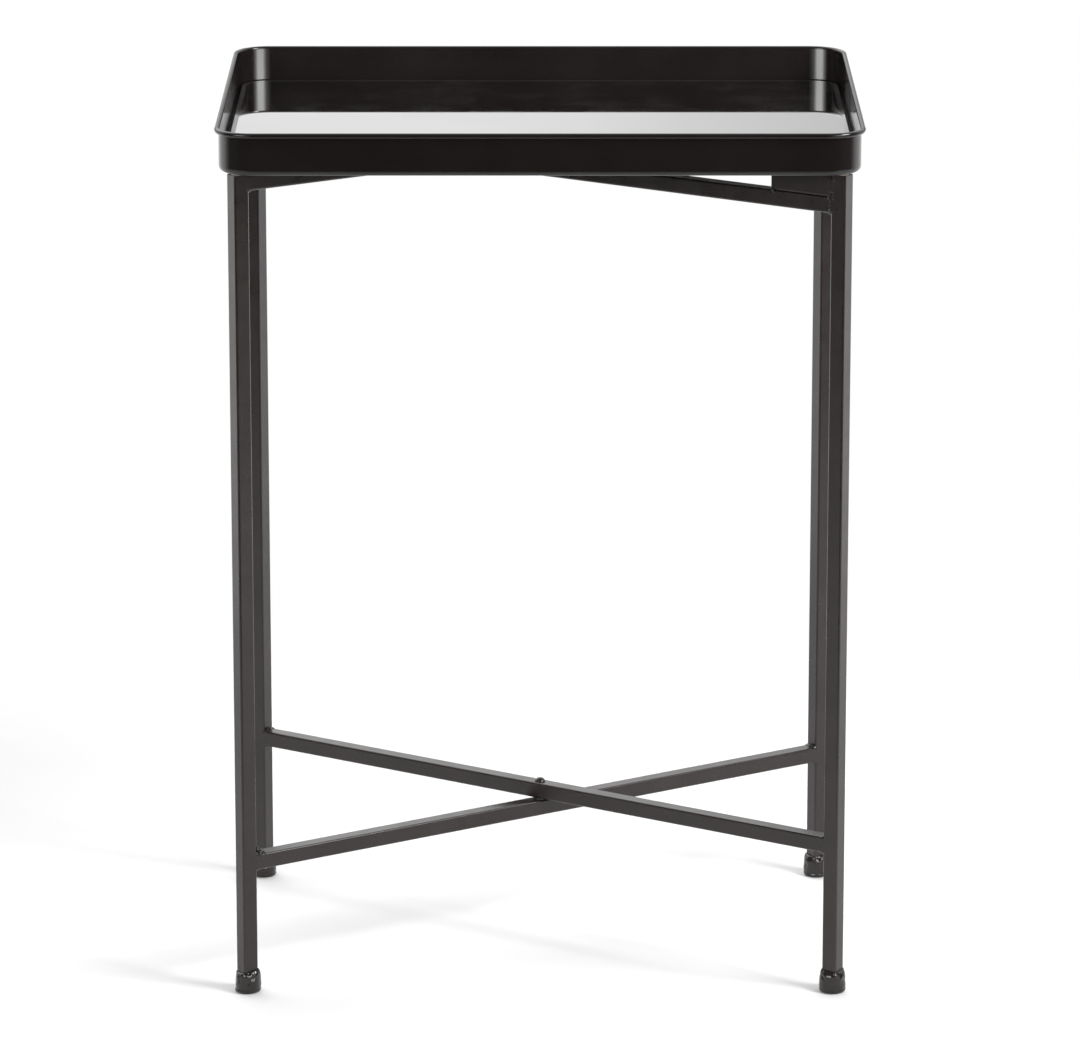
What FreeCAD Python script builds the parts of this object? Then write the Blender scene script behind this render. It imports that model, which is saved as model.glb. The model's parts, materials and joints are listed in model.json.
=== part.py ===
"""Folding tray table.

A pressed steel tray with a mirror panel rests on two welded frames of square tube. The frames stand on
the two diagonals of the tray. The inner frame nests between the rails of the outer one, and two rivets on
the common upright centre line join them, so the pair closes like scissors once the tray is lifted off.

Millimetres. The origin is on the floor under the centre of the table, +Z is up, +X runs along the tray's
long side and -Y is the front.
"""
import FreeCAD, Part
import math
import os
import Sketcher
from FreeCAD import Placement, Rotation, Vector

SIZES = [
    ("table_length", 470, "overall length, across the tray's rolled rim"),
    ("table_depth", 350, "overall depth, across the rolled rim"),
    ("table_height", 658.5, "floor to the top of the rim"),
    ("tray_height", 32, "underside of the tray to the top of the rim"),
    ("tray_corner", 27.5, "corner radius of the tray, outside the rim"),
    ("tray_bend", 5, "outer radius between the tray's floor and wall"),
    ("tray_lip", 5, "flat margin of the floor that is made with the wall"),
    ("sheet", 1, "thickness of the tray's steel sheet"),
    ("rim_radius", 2, "outer radius of the rolled rim"),
    ("rim_end_angle", 105, "how far below the horizontal the roll ends, in degrees"),
    ("panel_gap", 2.3, "gap between the mirror panel and the tray's wall"),
    ("panel_thickness", 4, "glass of the mirror panel"),
    ("panel_bevel", 0.5, "ground edge of the glass"),
    ("tape_thickness", 1, "foam tape under the panel"),
    ("tape_length", 300, "length of each strip of tape"),
    ("tape_width", 25, "width of each strip of tape"),
    ("tape_spacing", 200, "distance between the two strips"),
    ("leg_x", 218.5, "leg centre from the table's centre, along X"),
    ("leg_y", 141, "leg centre from the table's centre, along Y"),
    ("leg_top", 622, "height of the legs' upper ends"),
    ("tube_width", 12, "square tube, across flats"),
    ("tube_wall", 1, "wall of the tube"),
    ("tube_edge", 1.5, "outer edge radius of the tube"),
    ("lower_rail_height", 95, "underside of the outer frame's lower rail"),
    ("lower_gap", 1.5, "gap between the two lower rails"),
    ("upper_gap", 4.5, "gap between the two upper rails"),
    ("raiser_length", 50, "length of the raisers on the inner frame's upper rail"),
    ("foot_diameter", 20.5, "foot cap"),
    ("foot_height", 18, "foot cap"),
    ("foot_floor", 3, "solid bottom of the foot cap"),
    ("foot_shoulder", 3, "radius of the cap's upper edge"),
    ("foot_toe", 2, "radius of the cap's lower edge"),
    ("plug_length", 12, "insert plug in the top of each leg"),
    ("plug_bevel", 0.3, "bevel round the plug's upper face"),
    ("bumper_diameter", 9, "soft bumper on each leg top"),
    ("bumper_edge", 1, "radius of the bumper's upper edge"),
    ("fit_play", 0.1, "clearance of a plug in its tube, or of a tube in its cap"),
    ("rivet_shank", 5, "diameter of the rivets"),
    ("rivet_hole", 5.1, "hole that a rivet turns in"),
    ("rivet_head", 8.4, "diameter of the rivets' heads"),
    ("lower_head_height", 3, "domed head above the lower rails"),
    ("upper_head_height", 1.6, "low head between the upper rails and the tray"),
    ("rivet_tail", 7.2, "diameter of the tail that is formed inside the lower tube"),
    ("rivet_tail_height", 2.5, "height of the formed tail"),
    ("rivet_tail_edge", 0.7, "edge radius of the formed tail"),
    ("spacer_diameter", 10, "spacers on the rivets"),
    ("running_gap", 0.1, "gap beside a face that slides as the table folds"),
]

# Sizes that follow from the ones above, as expressions on the sheet.
TRAY_UNDERSIDE = "size.table_height - size.tray_height"
WALL_LENGTH = "size.table_length - 4 * size.rim_radius + 2 * size.sheet"
WALL_DEPTH = "size.table_depth - 4 * size.rim_radius + 2 * size.sheet"
WALL_CORNER = "size.tray_corner - 2 * size.rim_radius + size.sheet"
REACH = "sqrt(size.leg_x ^ 2 + size.leg_y ^ 2)"
TUBE_BORE = "size.tube_width - 2 * size.tube_wall"
LOWER_INNER_RAIL = "size.lower_rail_height + size.tube_width + size.lower_gap"
UPPER_OUTER_RAIL = "size.leg_top - size.tube_width"
UPPER_INNER_RAIL = "size.leg_top - 2 * size.tube_width - size.upper_gap"

ORIGIN = (-1, 1)
HORIZONTAL_AXIS = -1
VERTICAL_AXIS = -2
UP = Vector(0, 0, 1)
SIDEWAYS = Rotation(Vector(1, 1, 1), 120)    # turns a tube's length from +Z to +X and its Y to +Z
CORNERS = {"front_left": (-1, -1), "front_right": (1, -1), "back_left": (-1, 1), "back_right": (1, 1)}
INNER_CORNERS = ("front_right", "back_left")

doc = FreeCAD.newDocument("folding_tray_table")
sheet = doc.addObject("Spreadsheet::Sheet", "size")
for row, (alias, number, meaning) in enumerate(SIZES, start=1):
    sheet.set(f"A{row}", alias)
    sheet.set(f"B{row}", str(number))
    sheet.setAlias(f"B{row}", alias)
    sheet.set(f"C{row}", meaning)
doc.recompute()
sub_parts = []


def value(expression):
    """Number that an expression on the sheet gives now."""
    return float(sheet.evalExpression(expression))


def new_body(label):
    """Empty body, listed as a sub-part of the table."""
    body = doc.addObject("PartDesign::Body", label)
    body.Label = label
    sub_parts.append(body)
    return body


def new_sketch(body, plane, height="0"):
    """Sketch on one of the body's own origin planes, lifted along the plane's normal."""
    sketch = body.newObject("Sketcher::SketchObject", body.Label + "_sketch")
    support = next(item for item in body.Origin.OriginFeatures if item.Role == plane)
    sketch.AttachmentSupport = [(support, "")]
    sketch.MapMode = "FlatFace"
    sketch.setExpression("AttachmentOffset.Base.z", height)
    return sketch


def bind(sketch, constraint, expression):
    """Add a dimension to a sketch and tie it to the sheet."""
    index = sketch.addConstraint(Sketcher.Constraint(*constraint, value(expression)))
    sketch.setExpression(f"Constraints[{index}]", expression)


def add_circle(sketch, diameter):
    """Circle about the sketch's origin."""
    index = sketch.addGeometry(Part.Circle(Vector(), UP, value(diameter) / 2))
    sketch.addConstraint(Sketcher.Constraint("Coincident", index, 3, *ORIGIN))
    bind(sketch, ("Diameter", index), diameter)


def add_rounded_rectangle(sketch, length, width, radius):
    """Rectangle with round corners, centred on the sketch's origin."""
    half_x = value(length) / 2
    half_y = value(width) / 2
    round_off = value(radius)
    in_x = half_x - round_off
    in_y = half_y - round_off
    ends = [((-in_x, -half_y), (in_x, -half_y)), ((half_x, -in_y), (half_x, in_y)),
            ((in_x, half_y), (-in_x, half_y)), ((-half_x, in_y), (-half_x, -in_y))]
    centres = [(in_x, -in_y), (in_x, in_y), (-in_x, in_y), (-in_x, -in_y)]
    sides = [sketch.addGeometry(Part.LineSegment(Vector(*start), Vector(*end))) for start, end in ends]
    arcs = []
    for quarter, centre in enumerate(centres):
        start_angle = (quarter - 1) * math.pi / 2
        circle = Part.Circle(Vector(*centre), UP, round_off)
        arcs.append(sketch.addGeometry(Part.ArcOfCircle(circle, start_angle, start_angle + math.pi / 2)))
    for quarter in range(4):
        direction = "Horizontal" if quarter % 2 == 0 else "Vertical"
        sketch.addConstraint(Sketcher.Constraint(direction, sides[quarter]))
        sketch.addConstraint(Sketcher.Constraint("Tangent", sides[quarter], 2, arcs[quarter], 1))
        sketch.addConstraint(Sketcher.Constraint("Tangent", arcs[quarter], 2, sides[(quarter + 1) % 4], 1))
    for arc in arcs[1:]:
        sketch.addConstraint(Sketcher.Constraint("Equal", arcs[0], arc))
    sketch.addConstraint(Sketcher.Constraint("Symmetric", arcs[0], 3, arcs[2], 3, *ORIGIN))
    bind(sketch, ("Radius", arcs[0]), radius)
    bind(sketch, ("DistanceX", sides[3], 1, sides[1], 1), length)
    bind(sketch, ("DistanceY", sides[0], 1, sides[2], 1), width)


def arc_between(start, end, radius, turn, large):
    """Arc from start to end: turn is 1 for counter-clockwise, -1 for clockwise."""
    chord = end - start
    offset = math.sqrt(max(radius ** 2 - (chord.Length / 2) ** 2, 0))
    side = turn * (-1 if large else 1)
    centre = (start + end) / 2 + Vector(-chord.y, chord.x) / chord.Length * offset * side
    first, last = (start, end) if turn > 0 else (end, start)
    angles = [math.atan2(point.y - centre.y, point.x - centre.x) for point in (first, last)]
    return Part.ArcOfCircle(Part.Circle(centre, UP, radius), *angles)


def add_outline(sketch, start, steps):
    """Closed outline. A step is the point (x, y) that a line runs to, or (x, y, radius, turn, large) for
    an arc to that point. Every co-ordinate and radius is an expression on the sheet.
    """
    corners = [start] + [step[:2] for step in steps]
    points = [Vector(value(x), value(y)) for x, y in corners]
    pieces = []
    for step, begin, end in zip(steps, points, points[1:]):
        if len(step) == 2:
            index = sketch.addGeometry(Part.LineSegment(begin, end))
            pieces.append((index, 1, 2))
            continue
        radius, turn, large = step[2:]
        index = sketch.addGeometry(arc_between(begin, end, value(radius), turn, large))
        bind(sketch, ("Radius", index), radius)
        pieces.append((index, 1, 2) if turn > 0 else (index, 2, 1))
    for number, (index, first_end, _) in enumerate(pieces):
        previous, _, last_end = pieces[number - 1]
        sketch.addConstraint(Sketcher.Constraint("Coincident", previous, last_end, index, first_end))
        x, y = corners[number]
        for expression, name, axis in ((x, "DistanceX", VERTICAL_AXIS), (y, "DistanceY", HORIZONTAL_AXIS)):
            if expression == "0":
                sketch.addConstraint(Sketcher.Constraint("PointOnObject", index, first_end, axis))
            else:
                bind(sketch, (name, *ORIGIN, index, first_end), expression)


def pad(body, sketch, length, symmetric=False):
    """Extrude a sketch along its normal."""
    feature = body.newObject("PartDesign::Pad", body.Label + "_pad")
    feature.Profile = sketch
    feature.SideType = "Symmetric" if symmetric else "One side"
    feature.setExpression("Length", length)
    doc.recompute()
    return feature


def pocket(body, sketch, way):
    """Cut a sketch right through the body: along its normal, against it, or both ways."""
    before = body.Shape.Volume
    feature = body.newObject("PartDesign::Pocket", body.Label + "_pocket")
    feature.Profile = sketch
    feature.Type = "ThroughAll"
    feature.SideType = "Symmetric" if way == "both" else "One side"
    feature.Reversed = way == "along"
    doc.recompute()
    if not body.Shape.Volume < before:
        raise RuntimeError(f"{body.Label}: the pocket cuts nothing")
    return feature


def revolve(body, sketch):
    """Turn a sketch on the XZ plane once round the body's Z axis."""
    feature = body.newObject("PartDesign::Revolution", body.Label + "_revolution")
    feature.Profile = sketch
    feature.ReferenceAxis = (sketch, ["V_Axis"])
    feature.Angle = 360
    doc.recompute()
    return feature


def stand_at(body, x, y, z, angle=0.0, lie_down=False):
    """Place a body: turned about the upright by angle, and laid along that direction if it lies down."""
    turn = Rotation(UP, angle)
    body.Placement = Placement(Vector(x, y, z), turn * SIDEWAYS if lie_down else turn)


def make_tube(label, length, height="size.tube_width", symmetric=False):
    """Rolled tube along the body's Z, its height along the body's Y."""
    body = new_body(label)
    sketch = new_sketch(body, "XY_Plane")
    add_rounded_rectangle(sketch, "size.tube_width", height, "size.tube_edge")
    bore_height = f"{height} - 2 * size.tube_wall"
    add_rounded_rectangle(sketch, TUBE_BORE, bore_height, "size.tube_edge - size.tube_wall")
    pad(body, sketch, length, symmetric)
    return body


def make_leg(corner):
    x, y, angle = corner_place(corner)
    body = make_tube(f"leg_{corner}", "size.leg_top - size.foot_floor")
    stand_at(body, x, y, value("size.foot_floor"), angle)


def corner_place(corner):
    """Leg centre at a corner of the table, and the turn that squares it to its own frame."""
    side_x, side_y = CORNERS[corner]
    x = side_x * value("size.leg_x")
    y = side_y * value("size.leg_y")
    return x, y, math.degrees(math.atan(y / x))


def make_rail(label, underside, corner, holes="both"):
    """Rail from leg to leg of the frame that stands on this corner, drilled for its rivet.

    A rivet's tail closes inside the lower of two rails, which is drilled against the sketch's normal
    only, through its upper wall."""
    angle = corner_place(corner)[2]
    body = make_tube(label, f"2 * {REACH} - size.tube_width", symmetric=True)
    hole = new_sketch(body, "XZ_Plane")
    add_circle(hole, "size.rivet_hole")
    pocket(body, hole, holes)
    stand_at(body, 0, 0, value(f"{underside} + size.tube_width / 2"), angle, lie_down=True)


def make_raiser(corner):
    """Tube on the inner frame's upper rail, against a leg, which brings the rail up to the leg's top."""
    x, y, _ = corner_place(corner)
    direction = Vector(x, y, 0).normalize()
    height = "(size.tube_width + size.upper_gap)"
    body = make_tube(f"raiser_{corner}", "size.raiser_length", height)
    place = direction * value(f"{REACH} - size.tube_width / 2 - size.raiser_length")
    middle = value(f"size.leg_top - {height} / 2")
    stand_at(body, place.x, place.y, middle, math.degrees(math.atan2(y, x)), lie_down=True)


def make_foot(corner):
    """Round cap with a square socket for the leg."""
    x, y, angle = corner_place(corner)
    radius = "size.foot_diameter / 2"
    body = new_body(f"foot_{corner}")
    profile = new_sketch(body, "XZ_Plane")
    add_outline(profile, ("0", "0"), [
        (f"{radius} - size.foot_toe", "0"),
        (radius, "size.foot_toe", "size.foot_toe", 1, False),
        (radius, "size.foot_height - size.foot_shoulder"),
        (f"{radius} - size.foot_shoulder", "size.foot_height", "size.foot_shoulder", 1, False),
        ("0", "size.foot_height"),
        ("0", "0"),
    ])
    revolve(body, profile)
    socket = new_sketch(body, "XY_Plane", "size.foot_floor")
    opening = "size.tube_width + size.fit_play"
    add_rounded_rectangle(socket, opening, opening, "size.tube_edge + size.fit_play / 2")
    pocket(body, socket, "along")
    stand_at(body, x, y, 0, angle)


def make_plug(corner):
    """Insert that closes the top of a leg, flush with the tube."""
    x, y, angle = corner_place(corner)
    body = new_body(f"leg_plug_{corner}")
    width = f"{TUBE_BORE} - size.fit_play"
    sketch = new_sketch(body, "XY_Plane")
    add_rounded_rectangle(sketch, width, width, "size.tube_edge - size.tube_wall")
    pad(body, sketch, "size.plug_length")
    bevel_upper_edges(body, "size.plug_bevel", "size.plug_length")
    stand_at(body, x, y, value("size.leg_top - size.plug_length"), angle)


def bevel_upper_edges(body, bevel, height):
    """Chamfer every edge that lies in the plane at this height."""
    level = value(height)
    base = body.Tip
    names = [f"Edge{number}" for number, edge in enumerate(base.Shape.Edges, start=1)
             if all(abs(vertex.Z - level) < 1e-6 for vertex in edge.Vertexes)]
    feature = body.newObject("PartDesign::Chamfer", body.Label + "_chamfer")
    feature.Base = (base, names)
    feature.setExpression("Size", bevel)
    doc.recompute()


def make_bumper(corner):
    """Soft round pad between a leg and the tray. On the frame that turns it is a running gap lower."""
    x, y, _ = corner_place(corner)
    height = f"{TRAY_UNDERSIDE} - size.leg_top"
    if corner in INNER_CORNERS:
        height += " - size.running_gap"
    radius = "size.bumper_diameter / 2"
    body = new_body(f"bumper_{corner}")
    profile = new_sketch(body, "XZ_Plane")
    add_outline(profile, ("0", "0"), [
        (radius, "0"),
        (radius, f"{height} - size.bumper_edge"),
        (f"{radius} - size.bumper_edge", height, "size.bumper_edge", 1, False),
        ("0", height),
        ("0", "0"),
    ])
    revolve(body, profile)
    stand_at(body, x, y, value("size.leg_top"))


def make_rivet(label, grip_bottom, grip_top, head_height):
    """Blind rivet on the centre line, with a domed head above its grip and a formed tail below it."""
    body = new_body(label)
    tail = "size.rivet_tail / 2"
    head = "size.rivet_head / 2"
    shank = "size.rivet_shank / 2"
    neck = "size.rivet_tail_height"
    shoulder = f"{neck} + {grip_top} - ({grip_bottom})"
    top = f"{shoulder} + {head_height}"
    profile = new_sketch(body, "XZ_Plane")
    add_outline(profile, ("0", "0"), [
        (f"{tail} - size.rivet_tail_edge", "0"),
        (tail, "size.rivet_tail_edge", "size.rivet_tail_edge", 1, False),
        (tail, neck),
        (shank, neck),
        (shank, shoulder),
        (head, shoulder),
        ("0", top, f"(({head}) ^ 2 + {head_height} ^ 2) / (2 * {head_height})", 1, False),
        ("0", "0"),
    ])
    revolve(body, profile)
    stand_at(body, 0, 0, value(f"{grip_bottom} - size.rivet_tail_height"))


def make_spacer(label, bottom, thickness):
    """Spacer on a rivet, between two rails."""
    body = new_body(label)
    sketch = new_sketch(body, "XY_Plane")
    add_circle(sketch, "size.spacer_diameter")
    add_circle(sketch, "size.rivet_hole")
    pad(body, sketch, thickness)
    stand_at(body, 0, 0, value(bottom))


def make_pivots():
    """Two rivets on the centre line. Each holds two rails and a spacer, and its tail closes under the
    upper wall of the lower rail. The outer frame carries both rivets and both spacers."""
    outer_top = "size.lower_rail_height + size.tube_width"
    make_spacer("lower_pivot_spacer", outer_top, "size.lower_gap - size.running_gap")
    make_rivet("lower_pivot_rivet", f"{outer_top} - size.tube_wall",
               f"{LOWER_INNER_RAIL} + size.tube_width + size.running_gap", "size.lower_head_height")
    inner_top = f"{UPPER_INNER_RAIL} + size.tube_width"
    make_spacer("upper_pivot_spacer", f"{inner_top} + size.running_gap", "size.upper_gap - size.running_gap")
    make_rivet("upper_pivot_rivet", f"{inner_top} - size.tube_wall - size.running_gap",
               "size.leg_top", "size.upper_head_height")


def make_tray_shell():
    """Floor, wall and rolled rim in one sheet. The section of the wall is carried round the tray's plan."""
    body = new_body("tray_shell")
    outside = f"({WALL_LENGTH}) / 2"
    inside = f"{outside} - size.sheet"
    bend = f"{outside} - size.tray_bend"
    lip = f"{bend} - size.tray_lip"
    roll_centre = f"({outside} - size.sheet + size.rim_radius)"
    roll_height = "(size.tray_height - size.rim_radius)"
    roll_bore = "size.rim_radius - size.sheet"
    end_cos = "cos(size.rim_end_angle * 1deg)"
    end_sin = "sin(size.rim_end_angle * 1deg)"
    section = new_sketch(body, "XZ_Plane")
    add_outline(section, (lip, "0"), [
        (bend, "0"),
        (outside, "size.tray_bend", "size.tray_bend", 1, False),
        (outside, roll_height),
        (f"{roll_centre} + ({roll_bore}) * {end_cos}", f"{roll_height} - ({roll_bore}) * {end_sin}",
         roll_bore, -1, True),
        (f"{roll_centre} + size.rim_radius * {end_cos}", f"{roll_height} - size.rim_radius * {end_sin}"),
        (inside, roll_height, "size.rim_radius", 1, True),
        (inside, "size.tray_bend"),
        (bend, "size.sheet", "size.tray_bend - size.sheet", -1, False),
        (lip, "size.sheet"),
        (lip, "0"),
    ])
    plan = new_sketch(body, "XY_Plane")
    add_rounded_rectangle(plan, f"{WALL_LENGTH} - 2 * size.tray_bend", f"{WALL_DEPTH} - 2 * size.tray_bend",
                          f"{WALL_CORNER} - size.tray_bend")
    wall = body.newObject("PartDesign::AdditivePipe", "tray_shell_wall")
    wall.Profile = section
    wall.Spine = (plan, [f"Edge{number}" for number in range(1, 9)])
    doc.recompute()
    floor = new_sketch(body, "XY_Plane")
    inset = "2 * (size.tray_bend + size.tray_lip / 2)"
    add_rounded_rectangle(floor, f"{WALL_LENGTH} - {inset}", f"{WALL_DEPTH} - {inset}",
                          f"{WALL_CORNER} - ({inset}) / 2")
    pad(body, floor, "size.sheet")
    stand_at(body, 0, 0, value(TRAY_UNDERSIDE))


def make_mirror_panel():
    """Glass panel, silvered, a small gap inside the tray's wall."""
    body = new_body("mirror_panel")
    inset = "2 * (size.sheet + size.panel_gap)"
    sketch = new_sketch(body, "XY_Plane")
    add_rounded_rectangle(sketch, f"{WALL_LENGTH} - {inset}", f"{WALL_DEPTH} - {inset}",
                          f"{WALL_CORNER} - ({inset}) / 2")
    pad(body, sketch, "size.panel_thickness")
    bevel_upper_edges(body, "size.panel_bevel", "size.panel_thickness")
    stand_at(body, 0, 0, value(f"{TRAY_UNDERSIDE} + size.sheet + size.tape_thickness"))


def make_panel_tape():
    """Two strips of foam tape that hold the panel down on the tray's floor."""
    strips = []
    for name, side in (("front", -1), ("back", 1)):
        strip = doc.addObject("Part::Box", f"tape_strip_{name}")
        strip.setExpression("Length", "size.tape_length")
        strip.setExpression("Width", "size.tape_width")
        strip.setExpression("Height", "size.tape_thickness")
        strip.setExpression("Placement.Base.x", "-size.tape_length / 2")
        strip.setExpression("Placement.Base.y", f"({side} * size.tape_spacing - size.tape_width) / 2")
        strips.append(strip)
    tape = doc.addObject("Part::Compound", "panel_tape")
    tape.Links = strips
    tape.Label = "panel_tape"
    tape.Placement.Base = Vector(0, 0, value(f"{TRAY_UNDERSIDE} + size.sheet"))
    sub_parts.append(tape)


def check_document():
    """Stop if any object failed or any sub-part has no sound solid."""
    doc.recompute()
    for item in doc.Objects:
        if "Invalid" in item.State or "Error" in item.State:
            raise RuntimeError(f"{item.Label} failed: {item.State}")
    for part in sub_parts:
        if part.Shape.isNull() or not part.Shape.isValid() or part.Shape.Volume <= 0:
            raise RuntimeError(f"{part.Label} has no valid solid")


for place in CORNERS:
    make_leg(place)
    make_foot(place)
    make_plug(place)
    make_bumper(place)
for place in INNER_CORNERS:
    make_raiser(place)
make_rail("outer_lower_rail", "size.lower_rail_height", "front_left", holes="against")
make_rail("outer_upper_rail", UPPER_OUTER_RAIL, "front_left")
make_rail("inner_lower_rail", LOWER_INNER_RAIL, "front_right")
make_rail("inner_upper_rail", UPPER_INNER_RAIL, "front_right", holes="against")
make_pivots()
make_tray_shell()
make_mirror_panel()
make_panel_tape()
check_document()

os.makedirs("parts", exist_ok=True)
for part in sub_parts:
    part.Shape.exportStep(f"parts/{part.Label}.step")
    box = part.Shape.BoundBox
    print(f"{part.Label}: {part.Shape.Volume:.1f} mm3, X {box.XMin:.2f} {box.XMax:.2f},"
          f" Y {box.YMin:.2f} {box.YMax:.2f}, Z {box.ZMin:.2f} {box.ZMax:.2f}")
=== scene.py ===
"""Looks of the folding tray table: paint, mirror, weld beads, studio and camera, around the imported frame."""
import json
import math
import random
import bmesh
import bpy
from mathutils import Matrix, Vector, noise


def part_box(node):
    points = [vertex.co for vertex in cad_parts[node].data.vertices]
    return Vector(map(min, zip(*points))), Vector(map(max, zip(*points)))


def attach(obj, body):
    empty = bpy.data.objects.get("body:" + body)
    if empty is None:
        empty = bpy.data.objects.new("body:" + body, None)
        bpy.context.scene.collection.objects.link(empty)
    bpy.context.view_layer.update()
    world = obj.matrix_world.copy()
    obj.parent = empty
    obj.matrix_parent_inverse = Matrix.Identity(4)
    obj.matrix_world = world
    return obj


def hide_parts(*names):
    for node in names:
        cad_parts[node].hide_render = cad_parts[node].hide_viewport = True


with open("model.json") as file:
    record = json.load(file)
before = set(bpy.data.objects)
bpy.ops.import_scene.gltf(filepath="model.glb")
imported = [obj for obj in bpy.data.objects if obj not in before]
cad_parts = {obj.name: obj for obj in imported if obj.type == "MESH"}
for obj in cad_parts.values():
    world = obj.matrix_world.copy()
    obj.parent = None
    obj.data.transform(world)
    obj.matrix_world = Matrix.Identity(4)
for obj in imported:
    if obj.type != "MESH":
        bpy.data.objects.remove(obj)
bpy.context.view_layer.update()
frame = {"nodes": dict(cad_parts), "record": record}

MM = 0.001
random.seed(11)

# the part of a noise texture's range that most of its values fall in
NOISE_LOW = 0.3
NOISE_HIGH = 0.7

# mirror panel: corner radius, width of the border over its ground edge, and how dull that border is
PANEL_CORNER = 21.2 * MM
PANEL_BORDER = 4.5 * MM
EDGE_HAZE = 0.045

# roughness added to the tray's enamel round its bottom bend: in full up to one height above the underside,
# and gone by another
DULL_UNDERSIDE = 0.35
DULL_IN_FULL = 1.5 * MM
DULL_GONE = 5 * MM

# square tube of the frames
TUBE_HALF = 6 * MM
TUBE_CORNER = 1.5 * MM

# ---------------------------------------------------------------- materials


class Shader:
    """A node material with one Principled shader, built up by short calls."""

    def __init__(self, name, roughness, **constants):
        self.material = bpy.data.materials.new(name)
        self.material.use_nodes = True
        self.tree = self.material.node_tree
        self.tree.nodes.clear()
        self.output = self.add("ShaderNodeOutputMaterial")
        self.principled = self.add("ShaderNodeBsdfPrincipled")
        self.link(self.principled, "BSDF", self.output, "Surface")
        self.principled.inputs["Roughness"].default_value = roughness
        for socket, amount in constants.items():
            self.principled.inputs[socket.replace("_", " ")].default_value = amount
        self.place = self.add("ShaderNodeTexCoord")
        self.last_bump = None

    def add(self, kind, **settings):
        node = self.tree.nodes.new(kind)
        for key, setting in settings.items():
            setattr(node, key, setting)
        return node

    def link(self, source, output, target, target_input):
        self.tree.links.new(source.outputs[output], target.inputs[target_input])

    def noise(self, scale, detail=2.0, distortion=0.0):
        """Noise in the object's own space, scale in bumps per metre."""
        node = self.add("ShaderNodeTexNoise")
        node.inputs["Scale"].default_value = scale
        node.inputs["Detail"].default_value = detail
        node.inputs["Distortion"].default_value = distortion
        self.link(self.place, "Object", node, "Vector")
        return node

    def spread(self, source, output, low, high, from_low=NOISE_LOW, from_high=NOISE_HIGH):
        """Map a source's range to low..high."""
        node = self.add("ShaderNodeMapRange")
        node.inputs["From Min"].default_value = from_low
        node.inputs["From Max"].default_value = from_high
        node.inputs["To Min"].default_value = low
        node.inputs["To Max"].default_value = high
        self.link(source, output, node, "Value")
        return node

    def total(self, first, second):
        node = self.add("ShaderNodeMath", operation="ADD")
        self.link(first, 0, node, 0)
        self.link(second, 0, node, 1)
        return node

    def border_distance(self, half, corner):
        """Distance in metres outside a rounded rectangle about the origin; it is negative inside."""
        flat = self.add("ShaderNodeVectorMath", operation="ABSOLUTE")
        self.link(self.place, "Object", flat, 0)
        beyond = self.add("ShaderNodeVectorMath", operation="SUBTRACT")
        beyond.inputs[1].default_value = (half[0] - corner, half[1] - corner, 1.0)
        self.link(flat, "Vector", beyond, 0)
        outside = self.add("ShaderNodeVectorMath", operation="MAXIMUM")
        outside.inputs[1].default_value = (0, 0, 0)
        self.link(beyond, "Vector", outside, 0)
        reach = self.add("ShaderNodeVectorMath", operation="LENGTH")
        self.link(outside, "Vector", reach, 0)
        parts = self.add("ShaderNodeSeparateXYZ")
        self.link(beyond, "Vector", parts, "Vector")
        nearer = self.add("ShaderNodeMath", operation="MAXIMUM")
        self.link(parts, "X", nearer, 0)
        self.link(parts, "Y", nearer, 1)
        inside = self.add("ShaderNodeMath", operation="MINIMUM")
        inside.inputs[1].default_value = 0.0
        self.link(nearer, "Value", inside, 0)
        signed = self.add("ShaderNodeMath", operation="ADD")
        self.link(reach, "Value", signed, 0)
        self.link(inside, "Value", signed, 1)
        result = self.add("ShaderNodeMath", operation="SUBTRACT")
        self.link(signed, "Value", result, 0)
        result.inputs[1].default_value = corner
        return result

    def vary_roughness(self, source, low, high):
        node = self.spread(source, "Fac", low, high)
        self.link(node, "Result", self.principled, "Roughness")

    def vary_colour(self, source, dark, light):
        """Blend two colours by a source."""
        share = self.spread(source, "Fac", 0.0, 1.0)
        mix = self.add("ShaderNodeMix", data_type="RGBA")
        mix.inputs["A"].default_value = (*dark, 1)
        mix.inputs["B"].default_value = (*light, 1)
        self.link(share, "Result", mix, "Factor")
        self.link(mix, "Result", self.principled, "Base Color")

    def bump(self, source, strength, height):
        """Add a layer of relief, height in metres."""
        node = self.add("ShaderNodeBump")
        node.inputs["Strength"].default_value = strength
        node.inputs["Distance"].default_value = height
        self.link(source, "Fac", node, "Height")
        if self.last_bump:
            self.link(self.last_bump, "Normal", node, "Normal")
        self.link(node, "Normal", self.principled, "Normal")
        self.last_bump = node


def powder_coat():
    """Satin black powder coat on the tubes: fine orange peel, slightly uneven gloss."""
    shader = Shader("frame_paint", 0.3, Specular_IOR_Level=0.5)
    shader.vary_colour(shader.noise(35, 3), (0.0100, 0.0066, 0.0055), (0.0148, 0.0103, 0.0089))
    shader.vary_roughness(shader.noise(60, 4), 0.25, 0.34)
    shader.bump(shader.noise(900, 2), 0.1, 0.00003)
    shader.bump(shader.noise(3000, 1), 0.06, 0.00001)
    return shader.material


def shaded_weld_paint():
    """The same coat where it has pooled over the spots of weld, patchily glossy; its darker colour is painted
    shade, standing for the shade and dark reflections in the weld's lumps and pits.
    """
    shader = Shader("shaded_weld_paint", 0.2, Specular_IOR_Level=0.5)
    shader.vary_colour(shader.noise(300, 3), (0.0055, 0.0045, 0.0041), (0.0095, 0.0079, 0.0073))
    shader.vary_roughness(shader.noise(500, 4), 0.1, 0.32)
    shader.bump(shader.noise(700, 3), 0.3, 0.0002)
    return shader.material


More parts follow.
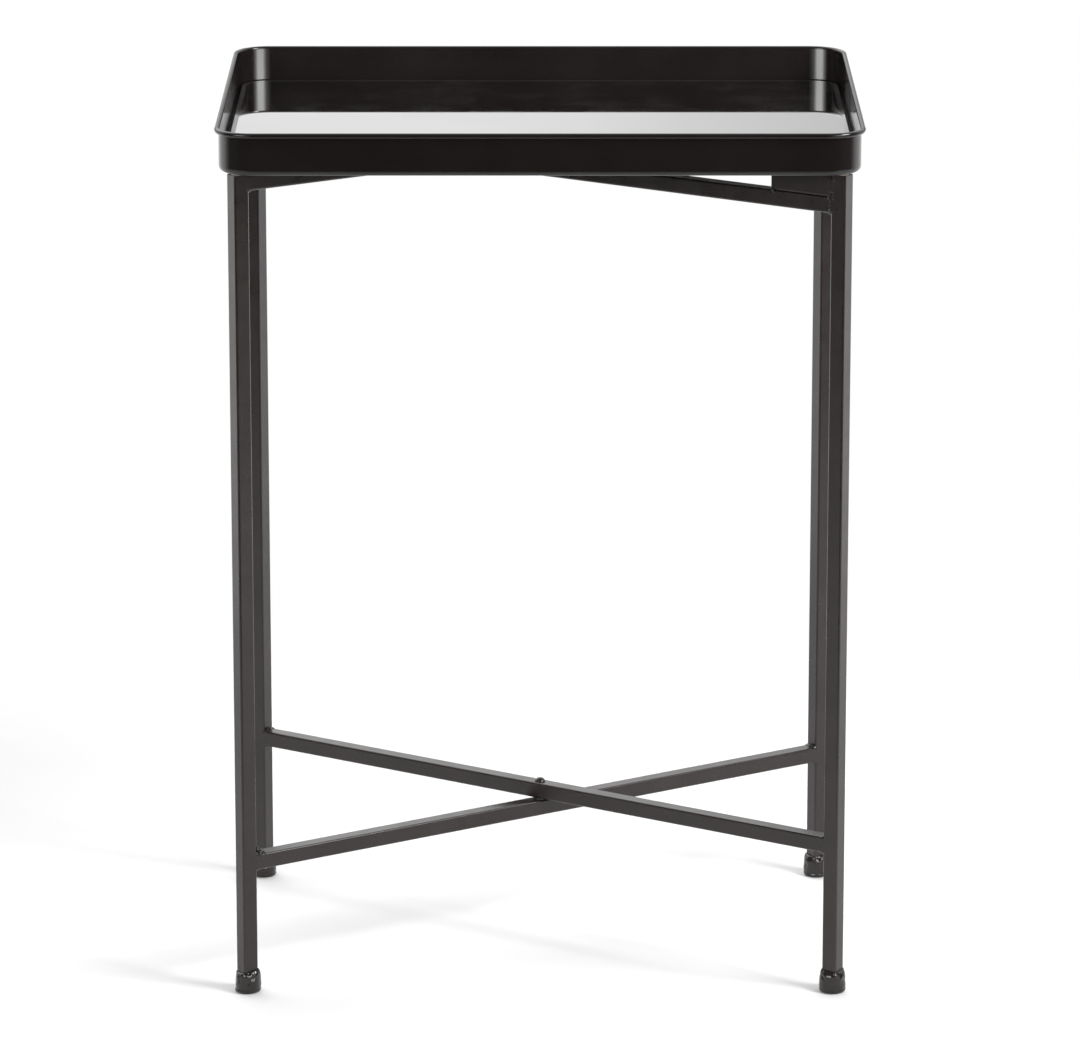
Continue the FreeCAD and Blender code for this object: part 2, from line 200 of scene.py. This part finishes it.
def shaded_weld_crust():
    """Thin dull coat over a weld deep in a corner; its near-black colour is partly that thin coat and partly
    painted shade of the corner.
    """
    shader = Shader("shaded_weld_crust", 0.55, Specular_IOR_Level=0.25)
    shader.vary_colour(shader.noise(300, 3), (0.005, 0.0043, 0.004), (0.0085, 0.0074, 0.0069))
    shader.vary_roughness(shader.noise(500, 4), 0.45, 0.65)
    shader.bump(shader.noise(700, 3), 0.3, 0.0002)
    return shader.material


def tray_enamel():
    """Smoother black enamel of the tray, duller round the bottom bend and underneath."""
    shader = Shader("tray_enamel", 0.13, Specular_IOR_Level=0.42)
    shader.vary_colour(shader.noise(20, 3), (0.0072, 0.0056, 0.0052), (0.0098, 0.0078, 0.0073))
    gloss = shader.spread(shader.noise(25, 4), "Fac", 0.1, 0.16)
    parts = shader.add("ShaderNodeSeparateXYZ")
    shader.link(shader.place, "Object", parts, "Vector")
    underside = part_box("tray_shell")[0][2]
    dull = shader.spread(parts, "Z", DULL_UNDERSIDE, 0.0, underside + DULL_IN_FULL, underside + DULL_GONE)
    shader.link(shader.total(gloss, dull), "Value", shader.principled, "Roughness")
    shader.bump(shader.noise(700, 2), 0.18, 0.00005)
    return shader.material


def mirror():
    """Silvered glass: a clean middle, its ground edge showing dimly through the border, and a little dust."""
    shader = Shader("mirror_glass", 0.02, Metallic=1.0)
    shader.vary_colour(shader.noise(14, 4, 0.4), (0.775, 0.78, 0.772), (0.81, 0.815, 0.806))
    shader.vary_roughness(shader.noise(45, 5, 0.6), 0.012, 0.035)
    low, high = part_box("mirror_panel")
    inset = shader.border_distance(((high[0] - low[0]) / 2, (high[1] - low[1]) / 2), PANEL_CORNER)
    border = shader.spread(inset, "Value", 0.0, EDGE_HAZE, -PANEL_BORDER, -PANEL_BORDER * 0.7)
    dust = shader.spread(shader.noise(520, 3), "Fac", 0.0, 0.05, 0.68, 0.76)
    smear = shader.spread(shader.noise(22, 5, 1.2), "Fac", 0.0, 0.012, 0.5, 0.72)
    haze = shader.total(shader.total(border, dust), smear)
    clear = shader.add("ShaderNodeMath", operation="SUBTRACT")
    clear.inputs[0].default_value = 1.0
    shader.link(haze, 0, clear, 1)
    shader.link(clear, "Value", shader.principled, "Metallic")
    return shader.material


def foot_plastic():
    """Glossy black moulded plastic."""
    shader = Shader("foot_plastic", 0.14, Specular_IOR_Level=0.45)
    shader.vary_colour(shader.noise(120, 3), (0.0090, 0.0065, 0.0060), (0.0140, 0.0105, 0.0098))
    shader.vary_roughness(shader.noise(200, 4), 0.09, 0.2)
    shader.bump(shader.noise(260, 3), 0.35, 0.0004)
    shader.bump(shader.noise(1500, 2), 0.15, 0.00004)
    return shader.material


def matte_plastic(name):
    """Dull black plastic of the plugs and spacers."""
    shader = Shader(name, 0.5)
    shader.vary_colour(shader.noise(150, 3), (0.011, 0.011, 0.011), (0.018, 0.018, 0.0175))
    shader.vary_roughness(shader.noise(400, 4), 0.45, 0.6)
    shader.bump(shader.noise(2500, 2), 0.3, 0.00004)
    return shader.material


def bumper_rubber():
    """Cream silicone."""
    shader = Shader("bumper_rubber", 0.45, Subsurface_Weight=0.15, Subsurface_Scale=0.001)
    shader.vary_colour(shader.noise(300, 3), (0.56, 0.50, 0.41), (0.66, 0.60, 0.51))
    shader.vary_roughness(shader.noise(500, 3), 0.4, 0.55)
    shader.bump(shader.noise(1800, 2), 0.2, 0.00003)
    return shader.material


def rivet_paint():
    """The frame's coat over the rivets, with a more uneven gloss and surface."""
    shader = Shader("rivet_paint", 0.3, Specular_IOR_Level=0.5)
    shader.vary_colour(shader.noise(300, 3), (0.0088, 0.0074, 0.0069), (0.0145, 0.0122, 0.0114))
    shader.vary_roughness(shader.noise(500, 4), 0.24, 0.36)
    shader.bump(shader.noise(1400, 2), 0.3, 0.00005)
    return shader.material


def tape_foam():
    """Grey foam of the tape under the panel."""
    shader = Shader("tape_foam", 0.85)
    shader.vary_colour(shader.noise(800, 3), (0.32, 0.32, 0.31), (0.42, 0.42, 0.40))
    shader.bump(shader.noise(2500, 3), 0.5, 0.0001)
    return shader.material


MATERIALS = {
    "frame_paint": powder_coat(),
    "shaded_weld_paint": shaded_weld_paint(),
    "shaded_weld_crust": shaded_weld_crust(),
    "tray_enamel": tray_enamel(),
    "mirror_glass": mirror(),
    "foot_plastic": foot_plastic(),
    "plug_plastic": matte_plastic("plug_plastic"),
    "spacer_nylon": matte_plastic("spacer_nylon"),
    "bumper_rubber": bumper_rubber(),
    "rivet_paint": rivet_paint(),
    "tape_foam": tape_foam(),
}


def dress_cad_nodes():
    """Give every CAD node the material of its slot."""
    slots = {item["node"]: item["material_slot"] for item in frame["record"]["subparts"]}
    for name, node in frame["nodes"].items():
        node.data.materials.clear()
        node.data.materials.append(MATERIALS[slots[name]])


# ---------------------------------------------------------------- shared helpers


def add_piece(name, mesh, body, material_slot, material=None):
    """Put a finished mesh in the scene, riding on a body."""
    piece = bpy.data.objects.new(name, mesh)
    bpy.context.scene.collection.objects.link(piece)
    mesh.materials.append(MATERIALS[material or material_slot])
    for face in mesh.polygons:
        face.use_smooth = True
    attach(piece, body)
    return piece


def skin(name, rings, joined_ends):
    """Mesh of quads over rings of equal length; the ends are joined to each other or capped."""
    build = bmesh.new()
    corners = [[build.verts.new(point) for point in ring] for ring in rings]
    spans = list(zip(corners, corners[1:]))
    if joined_ends:
        spans.append((corners[-1], corners[0]))
    for first, second in spans:
        for index in range(len(first)):
            following = (index + 1) % len(first)
            build.faces.new((first[index], first[following], second[following], second[index]))
    if not joined_ends:
        build.faces.new(corners[0])
        build.faces.new(corners[-1])
    bmesh.ops.recalc_face_normals(build, faces=build.faces)
    mesh = bpy.data.meshes.new(name)
    build.to_mesh(mesh)
    build.free()
    return mesh


def blend(share, first, second):
    return first + (second - first) * share


def smooth(share):
    share = min(1.0, max(0.0, share))
    return share * share * (3 - 2 * share)


def noise_seed(axes):
    """Random place to read noise from, so that no two pieces come out alike."""
    return Vector([random.uniform(0, 90) if axis < axes else 0.0 for axis in range(3)])


def middle(node):
    low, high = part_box(node)
    return (Vector(low) + Vector(high)) / 2


def frame_of(corner):
    return "outer_frame" if corner in ("front_left", "back_right") else "inner_frame"


def tube_outline(steps_side, steps_corner):
    """Points and outward normals round the square tube, counter-clockwise from its right side."""
    outline = []
    flat = TUBE_HALF - TUBE_CORNER
    for quarter in range(4):
        turn = Matrix.Rotation(quarter * math.pi / 2, 2)
        for step in range(steps_side):
            along = blend((step + 0.5) / steps_side, -flat, flat)
            outline.append((turn @ Vector((TUBE_HALF, along)), turn @ Vector((1, 0))))
        for step in range(steps_corner):
            angle = (step + 0.5) / steps_corner * math.pi / 2
            normal = Vector((math.cos(angle), math.sin(angle)))
            outline.append((turn @ (Vector((flat, flat)) + TUBE_CORNER * normal), turn @ normal))
    return outline


# ---------------------------------------------------------------- welds

# profile of a weld from the rail to the leg, in mm: along the rail from the leg's face, and out from the
# rail's surface; the points after the last one that shows close it inside the tubes
FLUSH_WELD = [
    (3.2, -0.12), (2.7, 0.0), (2.0, 0.07), (1.2, 0.12), (0.4, 0.14), (-0.4, 0.15), (-1.2, 0.14), (-2.0, 0.1),
    (-2.9, 0.04), (-3.6, -0.02), (-4.2, -0.12), (-4.2, -0.6), (-1.8, -0.8), (0.0, -0.9), (3.2, -0.6),
]
FILLET_WELD = [
    (2.12, -0.1), (1.98, 0.1), (1.78, 0.3), (1.52, 0.46), (1.24, 0.58), (0.98, 0.66), (0.72, 0.73),
    (0.48, 0.8), (0.26, 0.88), (0.08, 0.98), (-0.06, 1.06), (-0.12, 0.9), (-0.14, 0.3), (-0.1, -0.16),
    (1.8, -0.2),
]
LAST_SHOWN = 9
OUTLINE_STEPS = (16, 8)

# sizes of the fillets in mm: above each lower rail's ends, and the range of those below every rail
FILLET_ABOVE = {"front_left": 1.7, "front_right": 1.0, "back_left": 1.3, "back_right": 1.3}
FILLET_BELOW = (1.0, 1.4)
RAISER_LUMP = 1.3

# unevenness of a bead: its swell as a share, its lumps and ripples in mm, and noise scales per metre
BEAD_SWELL = 0.16
SWELL_SCALE = 330
FLUSH_LUMPS = 0.07
FILLET_LUMPS = 0.2
LUMP_SCALE = 620
GRAIN_SCALE = 1500
RIPPLE_HEIGHT = 0.1
RIPPLE_LENGTH = 0.9
# how far the lumps of a fillet lean towards the rail, and how deep in mm a bare side of a bead is sunk
FILLET_LEAN = 0.6
BARE_DEPTH = 0.5

# unevenness of a spot: its lumps and grain as shares of its size, and their noise scales
SPOT_LUMPS = 0.22
SPOT_LUMP_SCALE = 1.6
SPOT_GRAIN = 0.12
SPOT_GRAIN_SCALE = 4

# spots of weld on each side of a raiser, in mm: in from the leg's face, out from the raiser's middle plane,
# up from its underside, and half sizes
TACKS = [
    (49.2, 5.0, 0.0, (1.6, 2.2, 1.5)), (46.8, 6.0, -0.9, (1.6, 1.1, 1.4)),
    (1.0, 5.4, -0.6, (2.2, 1.0, 1.7)), (0.0, 5.5, -3.4, (1.6, 0.9, 1.6)),
    (-0.2, 5.5, -6.6, (1.5, 0.9, 1.9)), (0.2, 5.5, -9.8, (1.7, 0.9, 1.5)),
]

# material and places of the spots of weld on top of the lower rails' ends, in mm: in from the leg's face,
# out from the rail's middle plane, up from its top, and half sizes
# the spots are darker than the frame's coat; that darkness is painted shade of the weld's lumps, pits and
# corners
SPATTER = {
    "front_left": ("shaded_weld_paint", [
        (3.0, 4.8, -0.4, (2.0, 1.8, 2.4)), (5.5, 2.0, 0.5, (1.9, 1.8, 2.0)),
        (7.0, 4.4, -0.7, (1.7, 1.6, 1.5)), (7.5, 0.0, 0.2, (1.8, 1.9, 1.6)),
        (3.2, 0.5, 2.0, (1.7, 1.7, 2.6)), (8.5, -2.5, -0.3, (1.8, 1.6, 1.2)),
    ]),
    # the back corners' spots are near black: painted shade deep in those corners, over a thin dull coat
    "back_left": ("shaded_weld_crust", [
        (1.2, 3.6, 0.4, (1.6, 2.2, 1.6)), (1.0, 0.4, 0.5, (1.4, 2.6, 1.5)),
        (2.8, 4.6, -0.4, (1.8, 1.5, 1.2)),
    ]),
    "back_right": ("shaded_weld_crust", [
        (1.2, -3.6, 0.4, (1.6, 2.2, 1.6)), (1.0, -0.4, 0.5, (1.4, 2.6, 1.5)),
        (2.8, -4.6, -0.4, (1.8, 1.5, 1.2)),
    ]),
    "front_right": ("shaded_weld_paint", []),
}


def weld(name, body, node, toward, radius, tops, lump=1.0):
    """Weld bead round the end of a rail where it meets a leg: fillets above and below, flush at the sides.

    toward is the flat direction from the middle of the table to the leg, radius the leg's inner face, and tops
    the sizes in mm of the fillets above and below; None leaves that side bare."""
    low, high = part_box(node)
    centre = toward * radius + Vector((0, 0, (low[2] + high[2]) / 2))
    side = Vector((-toward.y, toward.x, 0))
    seed = noise_seed(3)
    rings = []
    for place, normal in tube_outline(*OUTLINE_STEPS):
        size = tops[0] if normal.y > 0 else tops[1]
        upright = abs(normal.y) ** 3 if size else 0.0
        bare = abs(normal.y) if not size else 0.0
        swell = 1 + BEAD_SWELL * noise.noise(Vector((place.x, place.y, 0)) * SWELL_SCALE + seed)
        grown = (size or 1.0) * swell
        lean = (-toward * upright * FILLET_LEAN + (side * normal.x + Vector((0, 0, normal.y)))).normalized()
        lumps = blend(upright, FLUSH_LUMPS * lump, FILLET_LUMPS * (size or 1.0))
        ring = []
        for index, (flush, fillet) in enumerate(zip(FLUSH_WELD, FILLET_WELD)):
            along = blend(upright, flush[0], fillet[0] * grown) * MM
            out = blend(upright, flush[1] * lump, fillet[1] * grown) * MM
            out -= bare * BARE_DEPTH * MM
            shown = 1.0 if 0 < index <= LAST_SHOWN else 0.0
            outward = side * (place.x + normal.x * out) + Vector((0, 0, place.y + normal.y * out))
            point = centre - toward * along + outward
            rough = noise.noise(point * LUMP_SCALE + seed) + 0.5 * noise.noise(point * GRAIN_SCALE + seed)
            ripple = upright * RIPPLE_HEIGHT * math.sin(place.x / (RIPPLE_LENGTH * MM) + seed.x)
            ring.append(point + lean * shown * (rough * lumps + ripple) * MM)
        rings.append(ring)
    add_piece(name, skin(name, rings, joined_ends=True), body, "frame_paint")


def tack(name, body, place, size, material):
    """Small lumpy spot of weld, its half sizes in mm."""
    build = bmesh.new()
    bmesh.ops.create_icosphere(build, subdivisions=4, radius=1.0)
    seed = noise_seed(2)
    for vertex in build.verts:
        ball = vertex.co
        lumps = SPOT_LUMPS * noise.noise(ball * SPOT_LUMP_SCALE + seed)
        grain = SPOT_GRAIN * noise.noise(ball * SPOT_GRAIN_SCALE - seed)
        offset = Vector((ball.x * size[0], ball.y * size[1], ball.z * size[2]))
        vertex.co = place + offset * MM * (1 + lumps + grain)
    mesh = bpy.data.meshes.new(name)
    build.to_mesh(mesh)
    build.free()
    add_piece(name, mesh, body, "frame_paint", material)


def toward_leg(corner):
    """Flat direction from the table's middle to a leg, and the radius of the leg's inner face."""
    place = middle("leg_" + corner)
    place.z = 0
    return place.normalized(), place.length - TUBE_HALF


def weld_rails(side, corner):
    """Weld one end of a frame's lower and upper rails to the leg at a corner."""
    body = side + "_frame"
    toward, radius = toward_leg(corner)
    lower, upper = side + "_lower_rail", side + "_upper_rail"
    tops = (FILLET_ABOVE[corner], random.uniform(*FILLET_BELOW))
    weld(f"weld_{side}_lower_{corner}", body, lower, toward, radius, tops)
    across = Vector((-toward.y, toward.x, 0))
    rail_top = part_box(lower)[1][2]
    material, spots = SPATTER[corner]
    for number, (inward, out, up, size) in enumerate(spots):
        spot = toward * (radius - inward * MM) + across * out * MM + Vector((0, 0, rail_top + up * MM))
        tack(f"spatter_{corner}_{number}", body, spot, size, material)
    tops = (None, random.uniform(*FILLET_BELOW))
    weld(f"weld_{side}_upper_{corner}", body, upper, toward, radius, tops)


def weld_raiser(corner):
    """Weld a raiser to its leg, and to the rail below it with spots on both sides."""
    node = "raiser_" + corner
    toward, radius = toward_leg(corner)
    weld("weld_" + node, "inner_frame", node, toward, radius, (None, None), lump=RAISER_LUMP)
    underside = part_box(node)[0][2]
    across = Vector((-toward.y, toward.x, 0))
    for hand, label in ((-1, "right"), (1, "left")):
        for number, (inward, out, up, size) in enumerate(TACKS):
            spot = toward * (radius - inward * MM) + across * hand * out * MM
            spot.z = underside + up * MM
            # the spots' darker colour is painted shade of the weld's lumps and pits
            tack(f"tack_{node}_{label}_{number}", "inner_frame", spot, size, "shaded_weld_paint")


def weld_frames():
    """Weld every rail and raiser to its legs."""
    for side, corners in (("outer", ("front_left", "back_right")), ("inner", ("back_left", "front_right"))):
        for corner in corners:
            weld_rails(side, corner)
    for corner in ("back_left", "front_right"):
        weld_raiser(corner)


# ---------------------------------------------------------------- foot caps

# outline of a foot cap below its shoulder: height and half width as shares of the cap's
CAP_SIDE = [
    (0.0, 0.60), (0.0, 0.76), (0.012, 0.85), (0.035, 0.915), (0.065, 0.955), (0.1, 0.982), (0.135, 0.985),
    (0.16, 0.972), (0.185, 0.968), (0.22, 0.98), (0.28, 0.992), (0.36, 0.995), (0.45, 0.99), (0.54, 0.983),
    (0.62, 0.975),
]
CAP_SHOULDER = 0.66
SHOULDER_WIDTH = 0.97
SHOULDER_STEPS = 14
CAP_STEPS = 96
LARGEST_WIDTH = 0.999

# the cap's neck is a rounded square: the power that shapes it, its half width in mm, and how fast that
# narrows as the neck tucks in against the tube
NECK_POWER = 11
NECK_HALF = 6.4
NECK_TUCK = 8

# depth in mm of the dents and creases in the loose part of the cap, and their noise scales: round the cap,
# and up it per height of the cap
DENT = 1.3
DENT_SCALE = (1.6, 2.2)
CREASE = 0.9
CREASE_SCALE = (3.2, 3.6)

# for each cap: how far its shoulder sinks on its lowest side in mm, that side's direction in degrees, and
# how far it is pushed in there in mm
CAP_SAG = {
    "front_left": (2.6, 180, 1.0),
    "front_right": (0.9, 300, 0.2),
    "back_left": (1.2, 30, 0.3),
    "back_right": (1.0, 250, 0.3),
}


def cap_profile(neck_end):
    """Heights and half widths as shares of the cap's, each with how round the outline is there.

    Roundness 1 is a circle, 0 the square neck, and below 0 the neck tucked in against the tube."""
    profile = [(height, width, 1.0) for height, width in CAP_SIDE]
    for step in range(SHOULDER_STEPS + 1):
        lean = math.pi / 2 * step / SHOULDER_STEPS
        height = CAP_SHOULDER + (1 - CAP_SHOULDER) * math.sin(lean)
        profile.append((height, SHOULDER_WIDTH, math.cos(lean)))
    tucked = ((0.985, -0.03), (0.94, -0.05), (neck_end, -0.05))
    return profile + [(height, SHOULDER_WIDTH, roundness) for height, roundness in tucked]


def foot(corner, droop, lowest, pressed):
    """Vinyl cap pushed over the leg: round below, with a domed shoulder that closes on the square tube."""
    node = "foot_" + corner
    low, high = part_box(node)
    centre = middle(node)
    outer = (high[0] - low[0]) / 2
    top = high[2]
    leg = middle("leg_" + corner)
    leg_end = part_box("leg_" + corner)[0][2]
    turn = math.atan2(leg.y, leg.x)
    seed = noise_seed(2)
    low_side = math.radians(lowest) - turn
    rings = []
    for height, width, roundness in cap_profile(leg_end / top):
        ring = []
        for step in range(CAP_STEPS):
            angle = 2 * math.pi * step / CAP_STEPS
            square = abs(math.cos(angle)) ** NECK_POWER + abs(math.sin(angle)) ** NECK_POWER
            neck = (NECK_HALF + NECK_TUCK * min(0.0, roundness)) * MM * square ** (-1 / NECK_POWER)
            across = blend(max(0.0, roundness), neck, outer * width)
            lowered = (0.5 + 0.5 * math.cos(angle - low_side)) * smooth((height - 0.35) / 0.6)
            if roundness >= 0:
                around = Vector((math.cos(angle), math.sin(angle), 0))
                dent = noise.noise(around * DENT_SCALE[0] + Vector((0, 0, height * DENT_SCALE[1])) + seed)
                crease_at = around * CREASE_SCALE[0] + Vector((0, 0, height * CREASE_SCALE[1])) - seed
                crease = abs(noise.noise(crease_at))
                loose = smooth((height - 0.15) / 0.5) * smooth(roundness * 1.6)
                pushed = max(0.0, math.cos(angle - low_side)) ** 2 * smooth(height / 0.2)
                across += (min(0.0, dent) * DENT - crease * CREASE) * MM * loose
                across -= pressed * MM * pushed * roundness
            across = min(across, outer * LARGEST_WIDTH)
            facing = angle + turn
            ring.append(Vector((centre.x + across * math.cos(facing), centre.y + across * math.sin(facing),
                                height * top - droop * lowered * MM)))
        rings.append(ring)
    name = "cap_" + corner
    piece = add_piece(name, skin(name, rings, joined_ends=False), frame_of(corner), "foot_plastic")
    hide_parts(node)


# ---------------------------------------------------------------- studio

# floor disc: the radius it is solid to, and the radius it has faded out by
FLOOR_SOLID = 1.25
FLOOR_END = 2.15
# it also fades out behind and in front, between two values of y on its middle line; away from that line
# they move towards the front by the spread for each metre of x
FLOOR_BACK_SOLID = 0.55
FLOOR_BACK_END = 1.0
FLOOR_BACK_SPREAD = 0.35
FLOOR_FRONT_SOLID = -0.38
FLOOR_FRONT_END = -0.8
FLOOR_FRONT_SPREAD = 0.55
FLOOR_GREY = 0.78

# brightness of the surroundings that reflections and light rays meet
DARK_FRONT = 0.05
BACKDROP_LEFT = 0.87
BACKDROP_RIGHT = 0.53
BACKDROP_TOP = 3.0
LOW_FRONT_SIDES = 0.15
LOW_BACK = 1.7
FRONT_GLOW = 15.0
# how far the two front glows stand to each side, in degrees, and the cosines at which they begin and peak
GLOW_TURN = 35.5
GLOW_EDGE = 0.82
GLOW_PEAK = 0.967

CAMERA_PLACE = (0.0, -4.5995, 1.5336)
CAMERA_PITCH = 14.765
CAMERA_LENS = 209.6


def white_floor():
    """Pale floor disc that fades out beyond its middle, as a studio sweep runs out into light."""
    mesh = bpy.data.meshes.new("studio_floor")
    build = bmesh.new()
    bmesh.ops.create_circle(build, cap_ends=True, segments=96, radius=FLOOR_END)
    build.to_mesh(mesh)
    build.free()
    floor = bpy.data.objects.new("studio_floor", mesh)
    bpy.context.scene.collection.objects.link(floor)
    grey = (FLOOR_GREY, FLOOR_GREY, FLOOR_GREY, 1)
    shader = Shader("studio_floor", 0.9, Base_Color=grey, Specular_IOR_Level=0.1)
    reach = shader.add("ShaderNodeVectorMath", operation="LENGTH")
    shader.link(shader.place, "Object", reach, 0)
    fade = shader.spread(reach, "Value", 1.0, 0.0, FLOOR_SOLID, FLOOR_END)
    fade.interpolation_type = "SMOOTHSTEP"
    parts = shader.add("ShaderNodeSeparateXYZ")
    shader.link(shader.place, "Object", parts, "Vector")
    sides = shader.add("ShaderNodeMath", operation="ABSOLUTE")
    shader.link(parts, "X", sides, 0)
    for spread, low, high, shown in ((FLOOR_FRONT_SPREAD, FLOOR_FRONT_END, FLOOR_FRONT_SOLID, (0.0, 1.0)),
                                     (FLOOR_BACK_SPREAD, FLOOR_BACK_SOLID, FLOOR_BACK_END, (1.0, 0.0))):
        wedge = shader.add("ShaderNodeMath", operation="MULTIPLY_ADD")
        wedge.inputs[1].default_value = spread
        shader.link(sides, "Value", wedge, 0)
        shader.link(parts, "Y", wedge, 2)
        edge = shader.spread(wedge, "Value", *shown, low, high)
        edge.interpolation_type = "SMOOTHSTEP"
        both = shader.add("ShaderNodeMath", operation="MULTIPLY")
        shader.link(fade, 0, both, 0)
        shader.link(edge, "Result", both, 1)
        fade = both
    shader.link(fade, "Value", shader.principled, "Alpha")
    mesh.materials.append(shader.material)


def soft_box(name, place, size, power):
    """Rectangular area light, hidden from the camera and aimed at the middle of the floor."""
    data = bpy.data.lights.new(name, "AREA")
    data.shape = "RECTANGLE"
    data.size, data.size_y = size
    data.energy = power
    light = bpy.data.objects.new(name, data)
    light.location = place
    light.rotation_euler = (-Vector(place)).to_track_quat("-Z", "Y").to_euler()
    light.visible_camera = False
    bpy.context.scene.collection.objects.link(light)


def studio_world():
    """White all round for the eye; for light and reflections, white behind and above and dim in front."""
    world = bpy.data.worlds.new("studio")
    world.use_nodes = True
    bpy.context.scene.world = world
    tree = world.node_tree
    tree.nodes.clear()

    def add(kind, **settings):
        node = tree.nodes.new(kind)
        for key, setting in settings.items():
            setattr(node, key, setting)
        return node

    def number(amount):
        node = add("ShaderNodeValue")
        node.outputs["Value"].default_value = amount
        return node.outputs["Value"]

    def combine(operation, first, second):
        node = add("ShaderNodeMath", operation=operation)
        tree.links.new(first, node.inputs[0])
        tree.links.new(second, node.inputs[1])
        return node.outputs["Value"]

    def times(first, second):
        return combine("MULTIPLY", first, second)

    def plus(first, second):
        return combine("ADD", first, second)

    def along(direction, start, end, first, last, shape="SMOOTHSTEP"):
        """A ramp from first to last as the ray's share along a direction goes from start to end."""
        lean = add("ShaderNodeVectorMath", operation="DOT_PRODUCT")
        lean.inputs[1].default_value = direction
        tree.links.new(rays.outputs["Generated"], lean.inputs[0])
        ramp = add("ShaderNodeMapRange", interpolation_type=shape)
        for socket, amount in (("From Min", start), ("From Max", end), ("To Min", first), ("To Max", last)):
            ramp.inputs[socket].default_value = amount
        tree.links.new(lean.outputs["Value"], ramp.inputs["Value"])
        return ramp.outputs["Result"]

    def glow(side):
        """A soft light in front and to one side: a bright middle with a wide faint surround."""
        turn = math.radians(GLOW_TURN)
        middle_line = (side * math.sin(turn), -math.cos(turn), 0.0)
        near = along(middle_line, GLOW_EDGE, GLOW_PEAK, 0.0, 1.0, "LINEAR")
        squared = times(near, near)
        fourth = times(squared, squared)
        return plus(times(squared, surround), times(times(fourth, fourth), bright_middle))

    right, back, up = (1.0, 0.0, 0.0), (0.0, 1.0, 0.0), (0.0, 0.0, 1.0)
    rays = add("ShaderNodeTexCoord")
    surround, bright_middle = number(0.4 * FRONT_GLOW), number(0.6 * FRONT_GLOW)

    backdrop = times(along(back, -0.1, 0.5, DARK_FRONT, 1.0),
                     along(right, -0.02, 0.08, BACKDROP_LEFT, BACKDROP_RIGHT))
    above = times(backdrop, along(up, 0.19, 0.42, 1.0, BACKDROP_TOP))
    below = plus(along(back, -0.85, -0.5, DARK_FRONT, LOW_FRONT_SIDES), along(back, -0.2, 0.35, 0.0, LOW_BACK))
    glow_band = times(along(up, 0.08, 0.2, 0.0, 1.0), along(up, 0.32, 0.45, 1.0, 0.0))
    front = times(plus(glow(-1), glow(1)), glow_band)
    over_horizon, under_horizon = along(up, -0.06, 0.02, 0.0, 1.0), along(up, -0.06, 0.02, 1.0, 0.0)
    light = plus(plus(times(above, over_horizon), times(below, under_horizon)), front)

    lit = add("ShaderNodeBackground")
    tree.links.new(light, lit.inputs["Color"])
    seen = add("ShaderNodeBackground")
    seen.inputs["Color"].default_value = (1, 1, 1, 1)
    path = add("ShaderNodeLightPath")
    mix = add("ShaderNodeMixShader")
    tree.links.new(path.outputs["Is Camera Ray"], mix.inputs["Fac"])
    tree.links.new(lit.outputs["Background"], mix.inputs[1])
    tree.links.new(seen.outputs["Background"], mix.inputs[2])
    output = add("ShaderNodeOutputWorld")
    tree.links.new(mix.outputs["Shader"], output.inputs["Surface"])


def make_camera():
    """Long lens in front of the table and above it, looking down at its middle."""
    data = bpy.data.cameras.new("camera")
    data.sensor_width = 36.0
    data.lens = CAMERA_LENS
    data.clip_end = 50.0
    camera = bpy.data.objects.new("camera", data)
    camera.location = CAMERA_PLACE
    camera.rotation_euler = (math.radians(90 - CAMERA_PITCH), 0, 0)
    bpy.context.scene.collection.objects.link(camera)
    bpy.context.scene.camera = camera


# ---------------------------------------------------------------- the scene

dress_cad_nodes()
weld_frames()
for corner, sag in CAP_SAG.items():
    foot(corner, *sag)
white_floor()
studio_world()
soft_box("top_soft_box", (0.0, 0.5, 2.8), (3.2, 2.6), 8)
soft_box("key_soft_box", (2.1, -1.2, 2.3), (0.95, 0.95), 80)
make_camera()
bpy.context.scene.view_settings.view_transform = "Standard"
